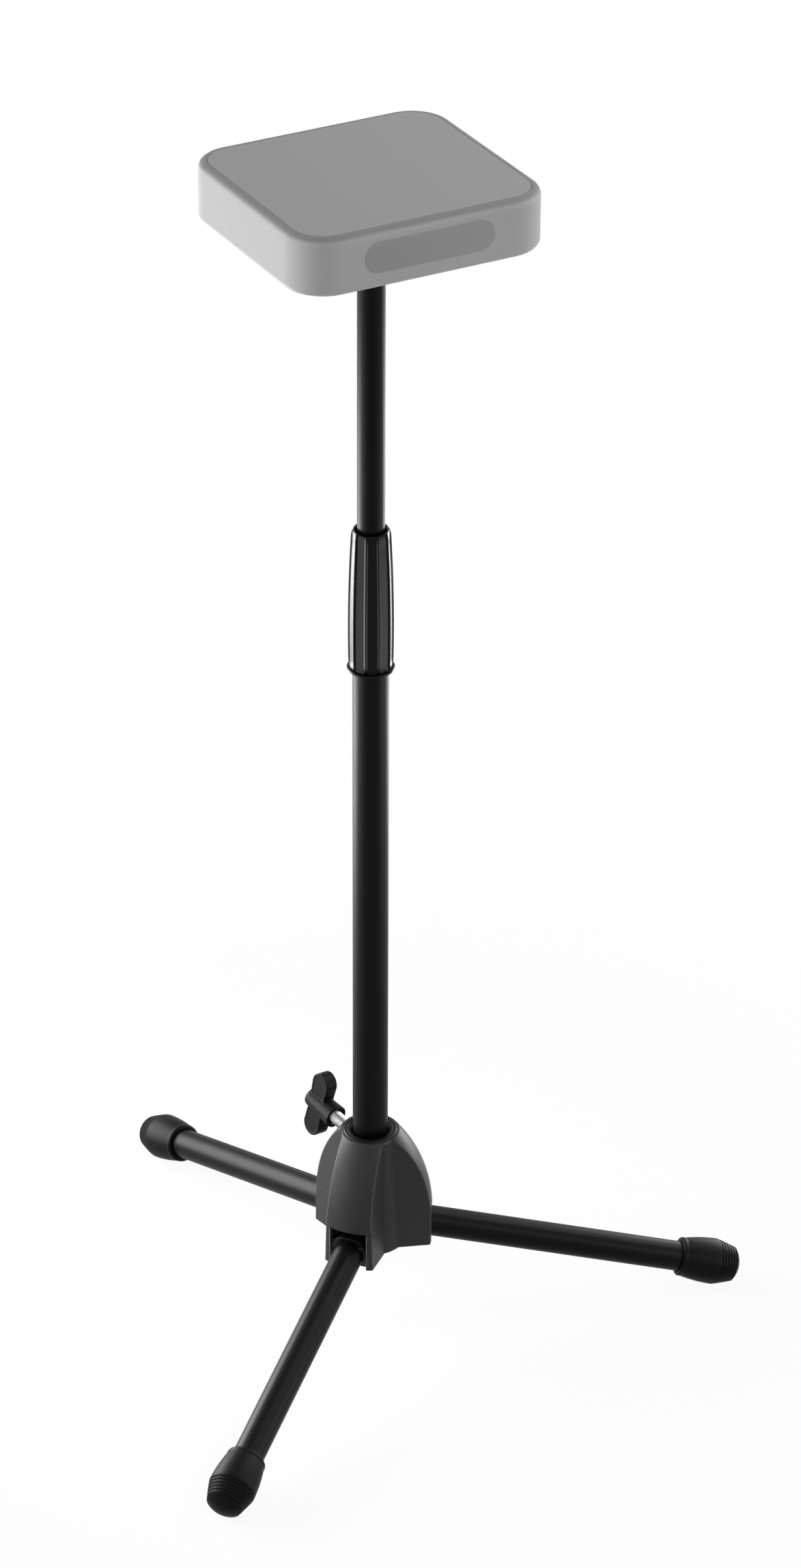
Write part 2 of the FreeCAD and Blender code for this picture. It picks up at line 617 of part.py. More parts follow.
def rod_top_stud():
    plug = cylinder(ROD_INNER - FIXED_GAP, ROD_HIGH - STUD_PLUG_LENGTH, ROD_HIGH)
    stud = cylinder(STUD_RADIUS, ROD_HIGH, ROD_HIGH + STUD_LENGTH)
    return plug.fuse(stud).removeSplitter()


# Pad, drawn with its port facing -Y and turned to its place at the end

def on_rod(shape):
    return about_z(shape, PAD_YAW)


def off_rod(shape):
    """Moves a piece of the pad's box from the middle of the box to its place beside the rod."""
    shape.translate(V(PAD_OFF_ROD_X, PAD_OFF_ROD_Y, 0))
    return shape


def rounded_block(inset, low, high):
    """Upright block with the pad's plan, drawn in all round by an inset."""
    width = PAD_WIDTH - 2 * inset
    depth = PAD_DEPTH - 2 * inset
    block = Part.makeBox(width, depth, high - low, V(-width / 2, -depth / 2, low))
    corners = [edge for edge in block.Edges if edge.BoundBox.ZLength > FIXED_GAP]
    return off_rod(block.makeFillet(PAD_CORNER_RADIUS - inset, corners))


def level_edges(shape, height):
    return [edge for edge in shape.Edges if edge.BoundBox.ZLength < FIXED_GAP
            and abs(edge.BoundBox.ZMin - height) < FIXED_GAP]


def stadium(length, height, outer_y, inner_y):
    """Bar along Y with a long round-ended section, at the middle height of the pad."""
    radius = height / 2
    straight = length - height
    middle = (PAD_LOW + PAD_TOP) / 2
    ends = []
    for x in (-straight / 2, straight / 2):
        ends.append(Part.makeCylinder(radius, inner_y - outer_y, V(x, outer_y, middle), V(0, 1, 0)))
    corner = V(-straight / 2, outer_y, middle - radius)
    bar = Part.makeBox(straight, inner_y - outer_y, height, corner)
    return off_rod(fuse_all(ends + [bar]))


def plate_screws(gap):
    """Countersunk screws that hold the bottom plate, grown by a gap."""
    inset = (BOTTOM_PLATE_INSET + PAD_WALL) / 2
    x = PAD_WIDTH / 2 - inset
    y = PAD_DEPTH / 2 - inset
    spread = PAD_DEPTH / 2 - PAD_CORNER_RADIUS
    places = [(-x, -spread), (-x, spread), (x, -spread), (x, spread), (0, -y), (0, y)]
    screws = []
    for place_x, place_y in places:
        place = V(place_x, place_y, PAD_LOW)
        wide = PLATE_SCREW_HEAD_RADIUS + gap
        narrow = PLATE_SCREW_RADIUS + gap
        head = Part.makeCone(wide, narrow, PLATE_SCREW_HEAD_HEIGHT, place)
        shank = Part.makeCylinder(narrow, PLATE_SCREW_LENGTH + gap, place)
        screws.append(off_rod(head.fuse(shank).removeSplitter()))
    return screws


def flange_screws(gap):
    """Pan-head screws that hold the flange on the bottom plate, grown by a gap."""
    seat = PAD_LOW + BOTTOM_PLATE_THICKNESS + FLANGE_THICKNESS
    screws = []
    for number in range(FLANGE_SCREW_COUNT):
        low = seat - FLANGE_THICKNESS - FLANGE_SCREW_BITE - gap
        shank = cylinder(FLANGE_SCREW_RADIUS + gap, low, seat)
        head = cylinder(FLANGE_SCREW_HEAD_RADIUS, seat, seat + FLANGE_SCREW_HEAD_HEIGHT)
        screw = shank.fuse(head).removeSplitter()
        bearing = FLANGE_SCREW_PHASE + number * 360 / FLANGE_SCREW_COUNT
        screw.translate(polar(FLANGE_SCREW_CIRCLE, bearing))
        screws.append(screw)
    return screws


def pad_frame():
    body = rounded_block(0, PAD_LOW, PAD_TOP)
    body = body.makeFillet(PAD_TOP_FILLET, level_edges(body, PAD_TOP))
    body = body.makeFillet(PAD_BOTTOM_FILLET, level_edges(body, PAD_LOW))
    front = -PAD_DEPTH / 2
    cuts = [rounded_block(PAD_WALL, PAD_LOW - CUT_OVERRUN, PAD_TOP + CUT_OVERRUN)]
    cuts.append(rounded_block(PLAYING_PLATE_INSET, PAD_TOP - PLAYING_PLATE_THICKNESS, PAD_TOP + CUT_OVERRUN))
    cuts.append(rounded_block(BOTTOM_PLATE_INSET, PAD_LOW - CUT_OVERRUN, PAD_LOW + BOTTOM_PLATE_THICKNESS))
    cuts.append(stadium(PORT_LENGTH, PORT_HEIGHT, front - CUT_OVERRUN, front + PAD_WALL + CUT_OVERRUN))
    notch_start = V(-PAD_WIDTH / 2 - CUT_OVERRUN, NOTCH_FROM_MIDDLE, PAD_LOW)
    notch = Part.makeCylinder(NOTCH_RADIUS, BOTTOM_PLATE_INSET + CUT_OVERRUN, notch_start, V(1, 0, 0))
    cuts.append(off_rod(notch))
    return on_rod(body.cut(cuts + plate_screws(FIXED_GAP)))


def playing_plate():
    low = PAD_TOP - PLAYING_PLATE_THICKNESS
    return on_rod(rounded_block(PLAYING_PLATE_INSET + PLATE_SEAM, low, PAD_TOP))


def pad_bottom_plate():
    plate = rounded_block(BOTTOM_PLATE_INSET + FIXED_GAP, PAD_LOW, PAD_LOW + BOTTOM_PLATE_THICKNESS)
    rod_hole = cylinder(ROD_RADIUS + RUNNING_GAP, PAD_LOW - CUT_OVERRUN, PAD_TOP)
    return on_rod(plate.cut([rod_hole] + plate_screws(FIXED_GAP) + flange_screws(FIXED_GAP)))


def port_panel():
    front = -PAD_DEPTH / 2 + PORT_RECESS
    gap = 2 * FIXED_GAP
    return on_rod(stadium(PORT_LENGTH - gap, PORT_HEIGHT - gap, front, front + PORT_PANEL_THICKNESS))


def pad_flange():
    low = PAD_LOW + BOTTOM_PLATE_THICKNESS
    plate = cylinder(FLANGE_RADIUS, low, low + FLANGE_THICKNESS)
    boss = cylinder(FLANGE_BOSS_RADIUS, low, low + FLANGE_BOSS_HEIGHT)
    thread = cylinder(STUD_RADIUS + RUNNING_GAP, low - CUT_OVERRUN, low + FLANGE_BOSS_HEIGHT + CUT_OVERRUN)
    return on_rod(plate.fuse(boss).removeSplitter().cut([thread] + flange_screws(FIXED_GAP)))


def build():
    """Every piece by its node's name, about the column's axis."""
    pieces = {
        "leg_carrier": leg_carrier(),
        "hub_dome": hub_dome(),
        "hub_screws": Part.makeCompound(hub_screws(0)),
        "collar_ring": collar_ring(),
        "column_bush": column_bush(),
        "clamp_shoe": clamp_shoe(),
        "wing_screw_shank": screw_shank(),
        "wing_knob": wing_knob(),
        "column_tube": column_tube(),
        "column_end_cap": column_end_cap(),
        "clutch_thread_bush": clutch_thread_bush(),
        "clutch_collet": clutch_collet(),
        "grip_sleeve": grip_sleeve(),
        "rod_tube": rod_tube(),
        "rod_guide_plug": rod_guide_plug(),
        "rod_top_stud": rod_top_stud(),
        "pad_frame": pad_frame(),
        "playing_plate": playing_plate(),
        "pad_bottom_plate": pad_bottom_plate(),
        "port_panel": port_panel(),
        "pad_flange": pad_flange(),
        "flange_screws": on_rod(Part.makeCompound(flange_screws(0))),
        "bottom_plate_screws": on_rod(Part.makeCompound(plate_screws(0))),
    }
    for number, azimuth in enumerate(LEG_AZIMUTHS, start=1):
        pieces["leg_pin_%d" % number] = on_leg_line(leg_pin(), azimuth)
        pieces["leg_root_%d" % number] = on_leg_line(leg_root(), azimuth)
        pieces["leg_tube_%d" % number] = on_leg_line(leg_tube(), azimuth)
        pieces["leg_foot_%d" % number] = cut_at_floor(on_leg_line(leg_foot(), azimuth))
    return pieces


def column_offset(pieces):
    """Shift that puts the middle of the feet's floor box under the origin."""
    feet = [shape for name, shape in pieces.items() if name.startswith("leg_foot")]
    box = Part.makeCompound(feet).optimalBoundingBox(False)
    return V(-(box.XMin + box.XMax) / 2, -(box.YMin + box.YMax) / 2, 0)


def export(pieces, offset):
    os.makedirs("parts", exist_ok=True)
    for name, shape in pieces.items():
        shape.translate(offset)
        shape.exportStep("parts/%s.step" % name)


model = build()
shift = column_offset(model)
export(model, shift)
print("column axis at x %.4f, y %.4f" % (shift.x, shift.y))
print("pin height %.4f, clamp height %.4f" % (PIN_HEIGHT, CLAMP_HEIGHT))
print("sleeve %.4f to %.4f, pad %.4f to %.4f" % (SLEEVE_LOW, SLEEVE_TOP, PAD_LOW, PAD_TOP))
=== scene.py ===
import json
import math

import bmesh
import bpy
from mathutils import Matrix, Vector

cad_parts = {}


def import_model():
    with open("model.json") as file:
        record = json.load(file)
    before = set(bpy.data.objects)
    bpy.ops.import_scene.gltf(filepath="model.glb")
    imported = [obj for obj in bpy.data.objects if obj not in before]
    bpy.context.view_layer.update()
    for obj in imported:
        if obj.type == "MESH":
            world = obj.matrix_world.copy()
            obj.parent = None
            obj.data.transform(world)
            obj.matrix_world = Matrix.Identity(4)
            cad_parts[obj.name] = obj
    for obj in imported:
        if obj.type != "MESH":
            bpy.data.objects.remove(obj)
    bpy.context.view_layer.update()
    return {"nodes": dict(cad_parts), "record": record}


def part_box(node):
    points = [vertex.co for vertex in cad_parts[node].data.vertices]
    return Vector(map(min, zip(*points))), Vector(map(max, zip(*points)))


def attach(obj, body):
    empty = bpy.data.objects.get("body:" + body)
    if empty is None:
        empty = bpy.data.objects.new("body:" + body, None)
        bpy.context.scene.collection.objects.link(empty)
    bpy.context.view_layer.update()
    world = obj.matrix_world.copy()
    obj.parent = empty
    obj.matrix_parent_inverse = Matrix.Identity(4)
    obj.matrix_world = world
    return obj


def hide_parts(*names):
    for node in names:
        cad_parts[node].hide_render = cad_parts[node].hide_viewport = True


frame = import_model()
nodes = frame["nodes"]

# Sizes of pieces are in millimetres, as in the CAD model, and MM takes them to the frame's metres
MM = 0.001
UP = Vector((0, 0, 1))
FULL_TURN = 2 * math.pi


def middle(node):
    low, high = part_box(node)
    return (low + high) / 2


def heights(node):
    """Lowest and highest point of a CAD node, in millimetres."""
    low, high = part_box(node)
    return low.z / MM, high.z / MM


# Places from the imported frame, and the driving sizes of the CAD model that the frame doesn't give
COLUMN = middle("column_tube")
HUB_LOW, _ = heights("leg_carrier")
HUB_PARTING, HUB_TOP = heights("hub_dome")
LEGS = (1, 2, 3)
LEG_TILT = math.radians(15.1)
LEG_ROOT, LEG_SHOWN = 9.0, 197.4
CLAMP_RISE = math.radians(8.0)
PAD_WIDTH, PAD_DEPTH = 183.9, 172.2
PAD_SHIFT = (-1.8, 0.8)
PAD_YAW = math.radians(50.1)
PAD_TOP = heights("pad_frame")[1]


def leg_direction(number):
    """Unit vector along a leg, from its pin out to its foot."""
    outward = middle("leg_pin_%d" % number) - COLUMN
    outward.z = 0
    outward.normalize()
    return outward * math.cos(LEG_TILT) - UP * math.sin(LEG_TILT)


def standing(origin, direction):
    """Matrix that takes a piece drawn along Z to a place and a direction."""
    return Matrix.Translation(origin) @ direction.to_track_quat("Z", "Y").to_matrix().to_4x4()


def on_column(height):
    """Matrix that takes a piece drawn about Z to the column's axis, at a height in metres."""
    return Matrix.Translation((COLUMN.x, COLUMN.y, height))


def pad_place(x, y, height):
    """Point of the pad, from millimetres about the middle of its box and a height in metres."""
    turn = Matrix.Rotation(PAD_YAW, 4, "Z")
    spot = Vector((x + PAD_SHIFT[0], y + PAD_SHIFT[1], 0)) * MM
    return Vector((COLUMN.x, COLUMN.y, height)) + turn @ spot


def linked(name, data):
    """New object in the scene."""
    piece = bpy.data.objects.new(name, data)
    bpy.context.scene.collection.objects.link(piece)
    return piece


# Node trees

class Layout:
    """Adds nodes to a tree; each entry of feeds is a value or a socket to join."""

    def __init__(self, tree):
        self.tree = tree

    def __call__(self, kind, feeds=None, **settings):
        node = self.tree.nodes.new(kind)
        for name, value in settings.items():
            setattr(node, name, value)
        for key, value in (feeds or {}).items():
            if isinstance(value, bpy.types.NodeSocket):
                self.tree.links.new(value, node.inputs[key])
            else:
                node.inputs[key].default_value = value
        return node

    def calc(self, operation, *values):
        return self("ShaderNodeMath", dict(enumerate(values)), operation=operation).outputs[0]

    def product(self, first, *others):
        for other in others:
            first = self.calc("MULTIPLY", first, other)
        return first


def geometry_tree(name, inputs):
    """Empty geometry tree with named inputs; returns its layout and its input sockets."""
    tree = bpy.data.node_groups.new(name, "GeometryNodeTree")
    tree.interface.new_socket(name="Geometry", in_out="INPUT", socket_type="NodeSocketGeometry")
    for label, kind in inputs:
        tree.interface.new_socket(name=label, in_out="INPUT", socket_type=kind)
    tree.interface.new_socket(name="Geometry", in_out="OUTPUT", socket_type="NodeSocketGeometry")
    layout = Layout(tree)
    return layout, layout("NodeGroupInput").outputs


def close_tree(layout, geometry, finish):
    """Ends a tree: real geometry, one finish."""
    real = layout("GeometryNodeRealizeInstances", {0: geometry}).outputs[0]
    painted = layout("GeometryNodeSetMaterial", {"Geometry": real, "Material": finish}).outputs[0]
    layout("NodeGroupOutput", {0: painted})
    return layout.tree


def evaluated_mesh(name, holder):
    """Keeps what a holder's modifiers make as a plain mesh, and removes the holder."""
    evaluated = holder.evaluated_get(bpy.context.evaluated_depsgraph_get())
    mesh = bpy.data.meshes.new_from_object(evaluated)
    mesh.name = name
    holder.modifiers.clear()
    bpy.data.objects.remove(holder)
    return mesh


def grown(name, start, tree, values):
    """Runs a geometry tree on a start mesh and keeps the result as a plain mesh."""
    holder = linked(name + "_start", start)
    modifier = holder.modifiers.new("tree", "NODES")
    modifier.node_group = tree
    for item in tree.interface.items_tree:
        if item.in_out == "INPUT" and item.name in values:
            modifier[item.identifier] = values[item.name]
    return evaluated_mesh(name, holder)


TURNED_INPUTS = (
    ("Segments", "NodeSocketInt"), ("Rows", "NodeSocketInt"),
    ("Rib Count", "NodeSocketFloat"), ("Rib Width", "NodeSocketFloat"),
    ("Rib Edge", "NodeSocketFloat"), ("Rib Height", "NodeSocketFloat"),
    ("Rib Phase", "NodeSocketFloat"), ("Flatness", "NodeSocketFloat"),
    ("Thread Pitch", "NodeSocketFloat"), ("Thread Depth", "NodeSocketFloat"),
    ("Finish", "NodeSocketMaterial"),
)
SEAM_REACH = 2e-6


def turned_tree():
    """Turns a profile of (radius, mask, height) about Z.

    Ribs, the flats between them and a thread show where the mask is 1."""
    n, given = geometry_tree("turned piece", TURNED_INPUTS)
    across = n.calc("ADD", given["Segments"], 1)
    grid = n("GeometryNodeMeshGrid", {"Size X": 1, "Size Y": 1, "Vertices X": across,
                                      "Vertices Y": given["Rows"]}).outputs["Mesh"]
    spot = n("ShaderNodeSeparateXYZ", {0: n("GeometryNodeInputPosition").outputs[0]}).outputs
    share = n.calc("ADD", spot["X"], 0.5)
    turn = n.product(share, FULL_TURN)

    # The grid's row picks a point of the profile
    last_row = n.calc("SUBTRACT", given["Rows"], 1)
    row = n.calc("ROUND", n.product(n.calc("ADD", spot["Y"], 0.5), last_row))
    sample = n("GeometryNodeSampleIndex", {"Geometry": given["Geometry"], "Index": row},
               data_type="FLOAT_VECTOR", domain="POINT")
    n.tree.links.new(n("GeometryNodeInputPosition").outputs[0], sample.inputs["Value"])
    profile = n("ShaderNodeSeparateXYZ", {0: sample.outputs[0]}).outputs
    radius, mask, height = profile["X"], profile["Y"], profile["Z"]

    # Ribs
    pace = n.calc("ADD", n.product(share, given["Rib Count"]), given["Rib Phase"])
    from_rib = n.calc("ABSOLUTE", n.calc("SUBTRACT", n.calc("FRACT", pace), 0.5))
    arc = n.calc("DIVIDE", n.product(radius, FULL_TURN), given["Rib Count"])
    half = n.product(given["Rib Width"], 0.5)
    rib = n("ShaderNodeMapRange", {"Value": n.product(from_rib, arc), "From Min": half,
                                   "From Max": n.calc("ADD", half, given["Rib Edge"]),
                                   "To Min": 1.0, "To Max": 0.0}, interpolation_type="SMOOTHSTEP")
    rib_rise = n.product(rib.outputs[0], mask, given["Rib Height"])

    # Flats between the ribs
    pitch = n.calc("DIVIDE", FULL_TURN, given["Rib Count"])
    from_flat = n.product(n.calc("SUBTRACT", 0.5, from_rib), pitch)
    corner = n.calc("COSINE", n.product(pitch, 0.5))
    flat = n.calc("SUBTRACT", 1.0, n.calc("DIVIDE", corner, n.calc("COSINE", from_flat)))
    sunk = n.product(flat, mask, n.product(radius, given["Flatness"]))

    # Thread
    climb = n.calc("FRACT", n.calc("ADD", n.calc("DIVIDE", height, given["Thread Pitch"]), share))
    flank = n.calc("ABSOLUTE", n.calc("SUBTRACT", n.product(climb, 2.0), 1.0))
    groove = n.product(flank, mask, given["Thread Depth"])

    reach = n.calc("SUBTRACT", n.calc("ADD", radius, rib_rise), n.calc("ADD", groove, sunk))
    x = n.product(reach, n.calc("COSINE", turn))
    y = n.product(reach, n.calc("SINE", turn))
    place = n("ShaderNodeCombineXYZ", {"X": x, "Y": y, "Z": height}).outputs[0]
    shaped = n("GeometryNodeSetPosition", {"Geometry": grid, "Position": place}).outputs[0]
    joined = n("GeometryNodeMergeByDistance", {"Geometry": shaped, "Distance": SEAM_REACH}).outputs[0]
    smooth = n("GeometryNodeSetShadeSmooth", {"Geometry": joined}).outputs[0]
    return close_tree(n, smooth, given["Finish"])


def screw_tree():
    """Puts a screw at every point, each turned by its own chance amount about Z."""
    n, given = geometry_tree("screws", (("Screw", "NodeSocketObject"), ("Seed", "NodeSocketInt"),
                                        ("Finish", "NodeSocketMaterial")))
    screw = n("GeometryNodeObjectInfo", {"Object": given["Screw"]}).outputs["Geometry"]
    chance = n("FunctionNodeRandomValue", {"Seed": given["Seed"]}, data_type="FLOAT")
    turn = n.product(chance.outputs["Value"], FULL_TURN)
    rotation = n("ShaderNodeCombineXYZ", {"Z": turn}).outputs[0]
    placed = n("GeometryNodeInstanceOnPoints", {"Points": given["Geometry"], "Instance": screw,
                                                "Rotation": rotation}).outputs[0]
    return close_tree(n, placed, given["Finish"])


# Finishes

DRIFT_SCALE = 17.0
GLOSS_GRAIN, GLOSS_DRIFT = 0.6, 0.4
GLOSS_FROM, GLOSS_TO, GLOSS_SPREAD = 0.3, 0.7, 0.05
BUMP_DISTANCE = 0.0002
LINE_REACH, LINE_FLOOR, LINE_SHADE = 0.35, 0.05, 0.6
# Fade heights and occlusion levels of the painted highlight on outer edges
HIGHLIGHT_FADE_LOW, HIGHLIGHT_FADE_HIGH = 2.0, 1.5
HIGHLIGHT_START, HIGHLIGHT_FULL = 0.92, 0.60


def height_step(n, place, start, end):
    """0 before a height, 1 past another, smooth between, in millimetres."""
    height = n("ShaderNodeSeparateXYZ", {0: place}).outputs["Z"]
    return n("ShaderNodeMapRange", {"Value": height, "From Min": start * MM, "From Max": end * MM},
             interpolation_type="SMOOTHSTEP").outputs[0]


def tone_mix(n, share, first, second):
    return n("ShaderNodeMix", {"Factor": share, 6: first, 7: second}, data_type="RGBA").outputs[2]


def parting_groove(n, place, height):
    """1 in a fine line round the piece at a height, 0 elsewhere."""
    below = height_step(n, place, height - LINE_REACH, height - LINE_FLOOR)
    above = height_step(n, place, height + LINE_REACH, height + LINE_FLOOR)
    return n.product(below, above)


def painted_edge_highlight(n, place, width, start, end):
    """Mask of a painted highlight: 1 on the outer edges between two heights, 0 a width away from them."""
    inner = n("ShaderNodeAmbientOcclusion", {"Distance": width * MM},
              inside=True, only_local=True, samples=8)
    highlight_share = n("ShaderNodeMapRange", {"Value": inner.outputs["AO"], "From Min": HIGHLIGHT_START,
                                      "From Max": HIGHLIGHT_FULL}).outputs[0]
    kept = n.product(height_step(n, place, start, start + HIGHLIGHT_FADE_LOW),
                     height_step(n, place, end, end - HIGHLIGHT_FADE_HIGH))
    return n.product(highlight_share, kept)


def coat(name, colour, roughness, grain, depth, drift=0.08, over=None, line=None, edge=None,
         **shader_values):
    """Finish with a fine grain in the surface and a slow drift in colour and gloss.

    over is (colour, start height, end height) of a colour that fades in upwards;
    line is the height of a fine parting line; edge is (colour, width, start height, end height)
    of a painted highlight on the outer edges."""
    material = bpy.data.materials.new(name)
    material.use_nodes = True
    n = Layout(material.node_tree)
    place = n("ShaderNodeTexCoord").outputs["Object"]
    fine = n("ShaderNodeTexNoise", {"Vector": place, "Scale": grain, "Detail": 3.0,
                                    "Roughness": 0.6}).outputs["Fac"]
    slow = n("ShaderNodeTexNoise", {"Vector": place, "Scale": DRIFT_SCALE, "Detail": 3.0,
                                    "Roughness": 0.5}).outputs["Fac"]
    dark = [c * (1 - drift) for c in colour] + [1]
    light = [min(1, c * (1 + drift)) for c in colour] + [1]
    tone = tone_mix(n, slow, dark, light)
    surface = n.product(fine, depth)
    if over:
        over_colour, start, end = over
        tone = tone_mix(n, height_step(n, place, start, end), tone, [*over_colour, 1])
    if line:
        groove = parting_groove(n, place, line)
        tone = tone_mix(n, n.product(groove, LINE_SHADE), tone, dark)
        surface = n.calc("SUBTRACT", surface, groove)
    # Painted highlight: outer edges are lightened where lamps would catch them
    if edge:
        highlight_colour, width, start, end = edge
        tone = tone_mix(n, painted_edge_highlight(n, place, width, start, end), tone, [*highlight_colour, 1])
    mixed = n.calc("ADD", n.product(fine, GLOSS_GRAIN), n.product(slow, GLOSS_DRIFT))
    gloss = n("ShaderNodeMapRange", {"Value": mixed, "From Min": GLOSS_FROM, "From Max": GLOSS_TO,
                                     "To Min": roughness - GLOSS_SPREAD,
                                     "To Max": roughness + GLOSS_SPREAD}).outputs[0]
    bump = n("ShaderNodeBump", {"Height": surface, "Strength": 1.0,
                                "Distance": BUMP_DISTANCE}).outputs[0]
    shader = material.node_tree.nodes["Principled BSDF"]
    for socket, feed in (("Base Color", tone), ("Roughness", gloss), ("Normal", bump)):
        material.node_tree.links.new(feed, shader.inputs[socket])
    for key, value in shader_values.items():
        shader.inputs[key.replace("_", " ")].default_value = value
    return material


def grey(level):
    """Linear grey from a level of 0 to 255 as a picture shows it."""
    share = level / 255
    linear = ((share + 0.055) / 1.055) ** 2.4 if share > 0.04 else share / 12.92
    return (linear, linear, linear)


def casting(name, edge_width, edge_low, edge_high):
    """Grey casting with its parting line, and a painted highlight on its outer edges between two heights."""
    return coat(name, grey(42), 0.42, 2000, 0.10, line=HUB_PARTING,
                edge=(grey(116), edge_width, edge_low, edge_high), Specular_IOR_Level=0.12)


FINISH = {
    "cast_hub": casting("satin grey casting", 1.5, HUB_PARTING + 1.0, HUB_TOP - 0.6),
    "black_tube": coat("satin black tube", grey(3), 0.40, 1500, 0.12, Specular_IOR_Level=0.08),
    "zinc_steel": coat("bright zinc", grey(190), 0.28, 900, 0.10, Metallic=1.0),
    "black_plastic": coat("black moulding", grey(6), 0.38, 2300, 0.10, Specular_IOR_Level=0.12),
    "knob_plastic": coat("dark grey moulding", grey(10), 0.42, 2300, 0.12, Specular_IOR_Level=0.07),
    "grip_plastic": coat("gloss black moulding", grey(3), 0.18, 2000, 0.02, Specular_IOR_Level=0.10),
    "nylon": coat("natural nylon", grey(220), 0.42, 1500, 0.05),
    "foot_rubber": coat("black rubber", grey(4), 0.46, 2600, 0.15, Specular_IOR_Level=0.07),
    # The shell's grey turns darker towards the top, over the rounded top edge
    "pad_shell": coat("satin grey shell", grey(192), 0.42, 1500, 0.04, drift=0.03,
                      over=(grey(146), PAD_TOP - 4.0, PAD_TOP - 0.7), Specular_IOR_Level=0.02),
    "pad_plate": coat("matt grey playing face", grey(146), 0.50, 2400, 0.10, drift=0.03),
    "pad_base": coat("painted board", grey(108), 0.55, 1300, 0.15, drift=0.06),
    "port_screen": coat("grey port panel", grey(158), 0.60, 2600, 0.20, drift=0.04),
    "black_screw": coat("black screw", grey(34), 0.38, 1600, 0.10, Metallic=0.6),
}

# The carrier is the same casting, with a narrower painted edge highlight because its walls are thin at the
# pin seats
CARRIER = casting("satin grey carrier", 0.6, HUB_LOW - 9.0, HUB_PARTING - 0.5)


def dress_cad_nodes():
    """Gives each CAD node the finish of its own slot in the record."""
    for part in frame["record"]["subparts"]:
        piece = nodes[part["node"]]
        finish = CARRIER if part["node"] == "leg_carrier" else FINISH[part["material_slot"]]
        piece.data.materials.clear()
        piece.data.materials.append(finish)


# Ways to make a piece

TURNED = turned_tree()
SCREWS = screw_tree()


def polyline(points):
    """Mesh of bare points from (radius, height) or (radius, mask, height), in millimetres."""
    full = []
    for point in points:
        radius, mask, height = point if len(point) == 3 else (point[0], 0.0, point[1])
        full.append((radius * MM, mask, height * MM))
    mesh = bpy.data.meshes.new("profile")
    mesh.from_pydata(full, [], [])
    return mesh


def turned_mesh(name, points, finish, segments=96, **values):
    """Turned piece about Z; values are further inputs of the tree, with lengths in metres."""
    given = {"Segments": segments, "Rows": len(points), "Rib Count": 1.0, "Thread Pitch": 1.0,
             "Rib Width": 0.001, "Rib Edge": 0.001, "Finish": FINISH[finish]}
    for key, value in values.items():
        given[key.replace("_", " ").title()] = value
    return grown(name, polyline(points), TURNED, given)


def set_piece(name, mesh, body, finish, *stands_for, crease=32):
    """Makes an object of a finished mesh, rides it on a body and hides the CAD nodes it stands for."""
    mesh.set_sharp_from_angle(angle=math.radians(crease))
    piece = linked(name, mesh)
    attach(piece, body)
    if stands_for:
        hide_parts(*stands_for)


def ring(bm, points):
    """Adds a loop of vertices at points in millimetres."""
    return [bm.verts.new((x * MM, y * MM, z * MM)) for x, y, z in points]


def sides(loop):
    """Pairs of neighbours round a closed loop."""
    return zip(loop, loop[1:] + loop[:1])


def wall(bm, first, second):
    """Joins two loops of as many vertices by a band of faces."""
    for (a, b), (d, c) in zip(sides(first), sides(second)):
        bm.faces.new((a, b, c, d))


def finished(bm, name):
    """Turns all faces outwards and keeps the work as a mesh."""
    bmesh.ops.recalc_face_normals(bm, faces=bm.faces)
    mesh = bpy.data.meshes.new(name)
    bm.to_mesh(mesh)
    bm.free()
    return mesh


def moulded(name, mesh, voxel, rounds, finish):
    """Melts overlapping shells into one skin with soft inner corners."""
    holder = linked(name + "_start", mesh)
    melt = holder.modifiers.new("melt", "REMESH")
    melt.mode = "VOXEL"
    melt.voxel_size = voxel * MM
    melt.use_smooth_shade = True
    soften = holder.modifiers.new("soften", "SMOOTH")
    soften.factor = 0.5
    soften.iterations = rounds
    made = evaluated_mesh(name, holder)
    made.materials.clear()
    made.materials.append(FINISH[finish])
    return made


# Clutch grip

SLEEVE_BORE, SLEEVE_MOUTH = 13.0, 11.05
SLEEVE_LIP, SLEEVE_LIP_LENGTH = 16.6, 2.7
SLEEVE_LOW, SLEEVE_WIDE, SLEEVE_HIGH = 15.6, 15.9, 14.1
SLEEVE_WIDE_AT = 29.4
SLEEVE_TOP, SLEEVE_CROWN = 12.2, 9.0
SLEEVE_ROWS, SLEEVE_CROWN_ROWS, SLEEVE_SEGMENTS = 34, 8, 480
SLEEVE_MOUTH_LENGTH, SLEEVE_CONE_END = 4.8, 22.6
RIB_COUNT, RIB_TURN = 10.0, 25.9
RIB_HEIGHT, RIB_WIDTH, RIB_EDGE, RIB_RUN_OUT = 0.9, 0.6, 1.1, 1.4


def bow(a, b, c, count):
    """Points on the smooth line through three (radius, height) points, from a to c."""
    points = []
    for step in range(count):
        z = a[1] + (c[1] - a[1]) * step / (count - 1)
        la = (z - b[1]) * (z - c[1]) / ((a[1] - b[1]) * (a[1] - c[1]))
        lb = (z - a[1]) * (z - c[1]) / ((b[1] - a[1]) * (b[1] - c[1]))
        lc = (z - a[1]) * (z - b[1]) / ((c[1] - a[1]) * (c[1] - b[1]))
        points.append((a[0] * la + b[0] * lb + c[0] * lc, z))
    return points


